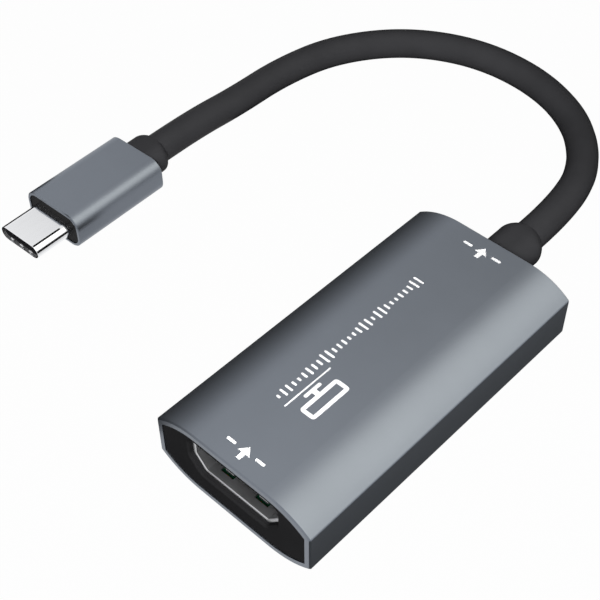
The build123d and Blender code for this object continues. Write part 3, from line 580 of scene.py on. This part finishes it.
class CAPTUREBOX_OT_set_studio(bpy.types.Operator):
    """Set the floor, the lamps, the cards that the metal mirrors, and the camera"""

    bl_idname = "capturebox.set_studio"
    bl_label = "Set Studio"

    def execute(self, context):
        scene = context.scene
        studio = scene.capturebox_studio

        bpy.ops.object.select_all(action="DESELECT")
        bpy.ops.mesh.primitive_plane_add(size=FLOOR_SIDE, location=(0, 0, -FLOOR_DROP))
        floor = context.object
        bpy.ops.object.transform_apply(location=True, rotation=True, scale=True)
        floor.name = "studio_floor"
        floor.data.materials.append(white_paper("white_paper", studio.paper, FLOOR_WHITE))

        # Cards that only mirrors see, each with its place and size in mm, its facing and its
        # light. The first three shade the box's sleeve, and the fourth the plug's sleeve. The
        # next two keep the cable's sheen low. The rest draw dark edges on the plug's shell.
        right, left, up, down = (90, 0, 90), (90, 0, -90), (0, 0, 0), (180, 0, 0)
        cards = {
            "card_left": ((-16.5, 8, 13), (110, 26), right, ("Z", 9, 25, 0.06, 1.0)),
            "card_right": ((20, -7, 0.3), (14, 105), up, 0.13),
            "card_above": ((-155, 155, 200), (290, 290), down, ("Y", -80, 288, 1.66, 0.0)),
            "card_plug": ((-39, 0, 0.3), (22, 34), up, 0.8),
            "card_cable": ((-28, 62, 0.2), (112, 66), up, 0.0),
            "card_back": ((-28, 104, 26), (190, 52), (90, 0, 0), ("Z", 0, 52, 0.0, 0.4)),
            "card_mouth": ((-60, -18.6, 0.3), (18, 6.6), up, 0.0),
            "card_shell_right": ((-45, -9, 2.6), (16, 5), left, 0.0),
            "card_shell_left": ((-68, -9, 4), (16, 8), right, 0.0),
            "card_shell_top": ((-53.2, -11.2, 6.8), (1.7, 5.6), down, 0.0),
        }
        for name, (place, size, turn, light) in cards.items():
            bpy.ops.object.select_all(action="DESELECT")
            bpy.ops.mesh.primitive_plane_add(size=1.0)
            card = context.object
            card.name = name
            card.scale = (size[0] * MM, size[1] * MM, 1.0)
            card.rotation_euler = [math.radians(angle) for angle in turn]
            card.location = Vector(place) * MM
            bpy.ops.object.transform_apply(location=True, rotation=True, scale=True)
            card.data.materials.append(shining_card(name, light))
            card.visible_camera = False
            card.visible_diffuse = False
            card.visible_shadow = False
            card.visible_transmission = False

        # Each lamp has its place and width in metres, its power and its colour
        lamps = {
            "lamp_key": ((0.11, -0.145, 0.21), 0.12, studio.key_power, (1.0, 1.0, 1.0)),
            "lamp_soft": ((0.168, 0.126, 0.375), 0.6, studio.soft_power, (1.0, 0.96, 0.82)),
        }
        for name, (place, size, power, tint) in lamps.items():
            lamp = bpy.data.lights.new(name, "AREA")
            lamp.shape = "DISK"
            lamp.size = size
            lamp.energy = power
            lamp.color = tint
            holder = bpy.data.objects.new(name, lamp)
            holder.location = place
            holder.rotation_euler = (-Vector(place)).to_track_quat("-Z", "Y").to_euler()
            # The soft lamp only shapes the metal's sheen, and the key lights the rest
            holder.visible_diffuse = name == "lamp_key"
            holder.visible_glossy = name == "lamp_soft"
            scene.collection.objects.link(holder)

        room = bpy.data.worlds.new("studio_room")
        room.use_nodes = True
        tree = room.node_tree
        tree.nodes.clear()
        strength = add_node(
            tree,
            "ShaderNodeMapRange",
            {"To Min": studio.room_strength, "To Max": 1.0},
            {"Value": seen_directly(tree)},
        )["Result"]
        light = add_node(
            tree, "ShaderNodeBackground", {"Color": (1, 1, 1, 1)}, {"Strength": strength}
        )["Background"]
        add_node(tree, "ShaderNodeOutputWorld", None, {"Surface": light})
        scene.world = room
        scene.view_settings.view_transform = "Standard"

        azimuth, elevation, roll = (math.radians(angle) for angle in CAMERA_ANGLES)
        back = Vector(
            (
                math.sin(azimuth) * math.cos(elevation),
                -math.cos(azimuth) * math.cos(elevation),
                math.sin(elevation),
            )
        )
        side = (-back).cross(Vector((0, 0, 1))).normalized()
        head = side.cross(-back)
        rolled_side = side * math.cos(roll) + head * math.sin(roll)
        rolled_head = head * math.cos(roll) - side * math.sin(roll)
        turn = Matrix((rolled_side, rolled_head, back)).transposed().to_4x4()
        lens = bpy.data.cameras.new("camera")
        lens.sensor_width = CAMERA_FILM
        lens.lens = CAMERA_LENS
        lens.clip_start = 0.01
        lens.clip_end = 10.0
        camera = bpy.data.objects.new("camera", lens)
        camera.matrix_world = Matrix.Translation(CAMERA_PLACE) @ turn
        scene.collection.objects.link(camera)
        scene.camera = camera
        return {"FINISHED"}


class CAPTUREBOX_OT_lay_cable(bpy.types.Operator):
    """Lay the cable along its route, from the box's strain relief to the plug's"""

    bl_idname = "capturebox.lay_cable"
    bl_label = "Lay Cable"

    def execute(self, context):
        cable = context.scene.capturebox_cable
        curve = bpy.data.curves.new("cable_line", "CURVE")
        curve.dimensions = "3D"
        line = curve.splines.new("NURBS")
        line.points.add(len(CABLE_ROUTE) - 1)
        for point, place in zip(line.points, CABLE_ROUTE):
            point.co = (*place, 1.0)
        line.order_u = 3
        line.use_endpoint_u = True
        line.resolution_u = 16
        curve.bevel_depth = cable.diameter / 2
        curve.bevel_resolution = 8
        curve.use_fill_caps = True
        jacket = bpy.data.objects.new("cable_jacket", curve)
        context.scene.collection.objects.link(jacket)
        # Thermoplastic elastomer, extruded: soft and matt, with hardly a reflection
        matt = {"Specular IOR Level": 0.02}
        jacket.data.materials.append(
            moulded_plastic("extruded_elastomer", cable.colour, 0.42, 0.5, 0.3 * MM, matt)
        )
        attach(jacket, "root")
        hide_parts("cable")
        give(["cable"], jacket.data.materials[0])
        # The same elastomer, moulded in an eroded tool: matt
        give(
            ["box_strain_relief", "plug_strain_relief"],
            moulded_plastic("moulded_elastomer", cable.colour, 0.5, 0.6, 0.2 * MM, matt),
        )
        return {"FINISHED"}


class CAPTUREBOX_OT_set_shield_pads(bpy.types.Operator):
    """Set three sprung pads low in the plug's mouth"""

    bl_idname = "capturebox.set_shield_pads"
    bl_label = "Set Shield Pads"

    def execute(self, context):
        finish = context.scene.capturebox_finish
        spring = plated_sheet("satin_nickel", finish.plating, 0.5, 0.6, 1 * MM)
        # Each pad bulges forward from the insulator's face, just behind the shell's rim. Its
        # place is in mm.
        spacing, behind_rim, below_middle = 2.1, 0.22, 0.72
        radius = depth = 0.3 * MM
        for index in range(3):
            bpy.ops.object.select_all(action="DESELECT")
            bpy.ops.mesh.primitive_cylinder_add(vertices=24, radius=radius, depth=depth)
            pad = context.object
            bpy.ops.object.mode_set(mode="EDIT")
            bpy.ops.mesh.select_all(action="SELECT")
            bpy.ops.mesh.bevel(offset=0.14 * MM, segments=5)
            bpy.ops.transform.resize(value=(1.3, 0.72, 1.0))
            bpy.ops.object.mode_set(mode="OBJECT")
            pad.rotation_euler = (math.radians(90), 0, PLUG_ANGLE)
            place = Vector(((index - 1) * spacing, behind_rim, -below_middle))
            pad.location = PLUG_MOUTH + PLUG_TURN @ place * MM
            bpy.ops.object.transform_apply(location=True, rotation=True, scale=True)
            bpy.ops.object.shade_smooth_by_angle(angle=math.radians(40))
            pad.name = f"plug_shield_pad_{index + 1}"
            pad.data.name = pad.name
            pad.data.materials.append(spring)
            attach(pad, "root")
        return {"FINISHED"}


class CAPTUREBOX_OT_finish_metal(bpy.types.Operator):
    """Finish the sleeves, the shells and the other metal parts"""

    bl_idname = "capturebox.finish_metal"
    bl_label = "Finish Metal"

    def execute(self, context):
        finish = context.scene.capturebox_finish
        give(
            ["housing_sleeve", "plug_sleeve"],
            anodised_aluminium("anodised_aluminium", finish.sleeves),
        )
        # Drawn stainless steel tube, bright nickel plated: a near mirror
        give(
            ["plug_shell", "plug_shield_springs"],
            plated_sheet("bright_nickel", finish.plating, 0.1, 0.14, 4 * MM),
        )
        # Steel strip, stamped, folded and tin plated: greyer and softer than nickel
        give(
            ["socket_shell", "plug_latch_spring"],
            plated_sheet("tinned_steel", linear("#C6C7C9"), 0.42, 0.48, 3 * MM),
        )
        # Copper alloy spring strip with a gold flash
        give(
            ["socket_contacts", "plug_contacts_upper", "plug_contacts_lower"],
            plated_sheet("gold_flash", linear("#E0B35A"), 0.18, 0.26, 1 * MM),
        )
        # Drawn lid, nickel plated and seam welded
        give(["crystal"], plated_sheet("nickel_lid", linear("#C6C4BE"), 0.24, 0.34, 1 * MM))
        # Copper strip, crimped, and dulled by handling
        give(
            ["box_crimp_ring"],
            plated_sheet("crimped_copper", linear("#BC7A50"), 0.3, 0.42, 2 * MM),
        )
        give(
            ["box_cable_core", "plug_cable_core"],
            braided_screen("braided_screen", linear("#C9CACB")),
        )
        return {"FINISHED"}


class CAPTUREBOX_OT_finish_plastic(bpy.types.Operator):
    """Finish the bezels, the inner mould, the insulators, the wires, the pad and the film"""

    bl_idname = "capturebox.finish_plastic"
    bl_label = "Finish Plastic"

    def execute(self, context):
        finish = context.scene.capturebox_finish
        # ABS, moulded against fine eroded steel: matt and deep black
        give(
            ["input_bezel", "output_bezel"],
            moulded_plastic(
                "moulded_abs", finish.bezels, 0.5, 0.6, 0.18 * MM, {"Specular IOR Level": 0.0}
            ),
        )
        # Nylon block, moulded in a smoother tool
        give(
            ["plug_inner_mould"],
            moulded_plastic(
                "moulded_nylon", finish.bezels, 0.42, 0.52, 0.15 * MM, {"Specular IOR Level": 0.02}
            ),
        )
        # Glass-filled polymer of the connectors: its fibres make it faintly speckled
        give(
            ["socket_insulator", "plug_insulator"],
            moulded_plastic(
                "glass_filled_polymer", linear("#18181A"), 0.38, 0.5, 0.1 * MM, {"IOR": 1.55}
            ),
        )
        # Wire insulation, extruded: glossy and off white
        give(
            ["box_wires", "plug_wires"],
            moulded_plastic("wire_insulation", linear("#DEDDD7"), 0.25, 0.35, 0.4 * MM, {}),
        )
        # Silicone pad, filled with ceramic powder: soft and dry
        give(
            ["thermal_pad"],
            moulded_plastic("filled_silicone", linear("#87919D"), 0.6, 0.75, 0.3 * MM, {}),
        )
        # Polyimide film: amber, smooth and glossy
        give(
            ["insulating_sheet"],
            moulded_plastic(
                "polyimide_film", linear("#A66216"), 0.12, 0.2, 0.8 * MM, {"IOR": 1.7}
            ),
        )
        return {"FINISHED"}


class CAPTUREBOX_OT_finish_boards(bpy.types.Operator):
    """Finish the circuit boards and the parts that they carry"""

    bl_idname = "capturebox.finish_boards"
    bl_label = "Finish Boards"

    def execute(self, context):
        give(["main_board", "plug_board"], solder_mask("solder_mask", linear("#0C3822")))
        # Epoxy packages, moulded: fine, matt and nearly black
        give(
            ["capture_chip", "esd_arrays", "plug_board_parts"],
            moulded_plastic("chip_epoxy", linear("#222324"), 0.52, 0.66, 0.12 * MM, {}),
        )
        give(
            ["flash_memory", "voltage_regulators"],
            moulded_plastic("package_epoxy", linear("#262728"), 0.5, 0.62, 0.14 * MM, {}),
        )
        # Ferrite powder, pressed and fired: dark, coarse and dry
        give(
            ["power_inductor"],
            moulded_plastic("fired_ferrite", linear("#45474A"), 0.6, 0.78, 0.25 * MM, {}),
        )
        # Barium titanate ceramic, fired: tan
        give(
            ["ceramic_capacitors"],
            moulded_plastic("tan_ceramic", linear("#AA865E"), 0.4, 0.55, 0.1 * MM, {}),
        )
        # Thick film resistors under a black glaze
        give(
            ["chip_resistors"],
            moulded_plastic("resistor_glaze", linear("#28282B"), 0.25, 0.4, 0.1 * MM, {}),
        )
        return {"FINISHED"}


class CAPTUREBOX_OT_print_marks(bpy.types.Operator):
    """Print plain marks on the top: an arrow in, an arrow out, a screen and a row of levels"""

    bl_idname = "capturebox.print_marks"
    bl_label = "Print Marks"

    def execute(self, context):
        marks = context.scene.capturebox_marks
        ink = printed_ink("screen_print", marks.ink)
        line = marks.line

        # At each end an arrow between two dashes: signal in, signal out
        near_end, dash, beside = 22.9 * MM, 1.5 * MM, 2.4 * MM
        head_width, head_length, shaft_length = 2.0 * MM, 1.2 * MM, 1.0 * MM
        for name, y in (("mark_in", -near_end), ("mark_out", near_end)):
            parts = [place_flat(flat_arrow(head_width, head_length, shaft_length), 0, y)]
            for side in (-1, 1):
                bar = flat_plate(dash, line, line * 0.45)
                parts.append(place_flat(bar, side * beside, y))
            print_mark(parts, name, marks.film, ink)

        # A screen on its foot, to be read from the side, and a rule under them. The stem just
        # fills the gap between screen and foot, because films that lap would flicker.
        y = -10.7 * MM
        screen_high, screen_wide, screen_place = 2.45 * MM, 6.8 * MM, 1.575 * MM
        foot_high, foot_wide, foot_place = line * 1.2, 3.0 * MM, -0.5 * MM
        stem_from, stem_to = foot_place + foot_high / 2, screen_place - screen_high / 2
        screen = flat_outline(screen_high, screen_wide, 0.5 * MM, line * 1.4)
        stem = flat_plate(stem_to - stem_from, 0.8 * MM, 0.02 * MM)
        foot = flat_plate(foot_high, foot_wide, line * 0.5)
        rule = flat_plate(0.22 * MM, 8.4 * MM, 0.1 * MM)
        parts = [
            place_flat(screen, screen_place, y),
            place_flat(stem, (stem_from + stem_to) / 2, y),
            place_flat(foot, foot_place, y),
            place_flat(rule, -1.3 * MM, y),
        ]
        print_mark(parts, "mark_screen", marks.film, ink)

        # A row of upright bars of different heights, as on a level meter. Sizes are in mm.
        row_place, row_from, row_length = -2.9, -14.3, 27.1
        lowest, sway, thickness = 0.6, 1.3, 0.34
        first = flat_plate(1.0, 1.0, 0.2)
        parts = []
        for index in range(marks.bars):
            bar = first.copy()
            bar.data = first.data.copy()
            context.scene.collection.objects.link(bar)
            # Two waves that never meet in step make the heights look unplanned
            height = lowest + sway * abs(math.sin(index * 0.83) * math.cos(index * 0.31 + 0.4))
            bar.scale = (height * MM, thickness * MM, 1.0)
            y = (row_from + index * row_length / (marks.bars - 1)) * MM
            parts.append(place_flat(bar, row_place * MM, y))
        bpy.data.objects.remove(first)
        print_mark(parts, "mark_levels", marks.film, ink)
        return {"FINISHED"}


class CAPTUREBOX_PT_panel(bpy.types.Panel):
    """Settings and steps that dress the capture box, in order"""

    bl_idname = "CAPTUREBOX_PT_panel"
    bl_label = "Capture Box"
    bl_space_type = "VIEW_3D"
    bl_region_type = "UI"
    bl_category = "Capture Box"

    def draw(self, context):
        for name, group in SETTINGS.items():
            column = self.layout.column(align=True)
            for setting in group.__annotations__:
                column.prop(getattr(context.scene, name), setting)
        column = self.layout.column()
        for step in STEPS:
            column.operator(step.bl_idname)


SETTINGS = {
    "capturebox_studio": StudioSettings,
    "capturebox_cable": CableSettings,
    "capturebox_finish": FinishSettings,
    "capturebox_marks": MarkSettings,
}
STEPS = (
    CAPTUREBOX_OT_set_studio,
    CAPTUREBOX_OT_set_shield_pads,
    CAPTUREBOX_OT_lay_cable,
    CAPTUREBOX_OT_finish_metal,
    CAPTUREBOX_OT_finish_plastic,
    CAPTUREBOX_OT_finish_boards,
    CAPTUREBOX_OT_print_marks,
)


def register():
    """Registers the settings, the steps and the panel."""
    for name, group in SETTINGS.items():
        bpy.utils.register_class(group)
        setattr(bpy.types.Scene, name, bpy.props.PointerProperty(type=group))
    for step in STEPS:
        bpy.utils.register_class(step)
    bpy.utils.register_class(CAPTUREBOX_PT_panel)


def unregister():
    """Takes away what register added."""
    bpy.utils.unregister_class(CAPTUREBOX_PT_panel)
    for step in STEPS:
        bpy.utils.unregister_class(step)
    for name, group in SETTINGS.items():
        delattr(bpy.types.Scene, name)
        bpy.utils.unregister_class(group)


def main():
    """Dresses the box step by step."""
    register()
    bpy.ops.capturebox.set_studio()
    bpy.ops.capturebox.set_shield_pads()
    bpy.ops.capturebox.lay_cable()
    bpy.ops.capturebox.finish_metal()
    bpy.ops.capturebox.finish_plastic()
    bpy.ops.capturebox.finish_boards()
    bpy.ops.capturebox.print_marks()


if __name__ == "__main__":
    main()
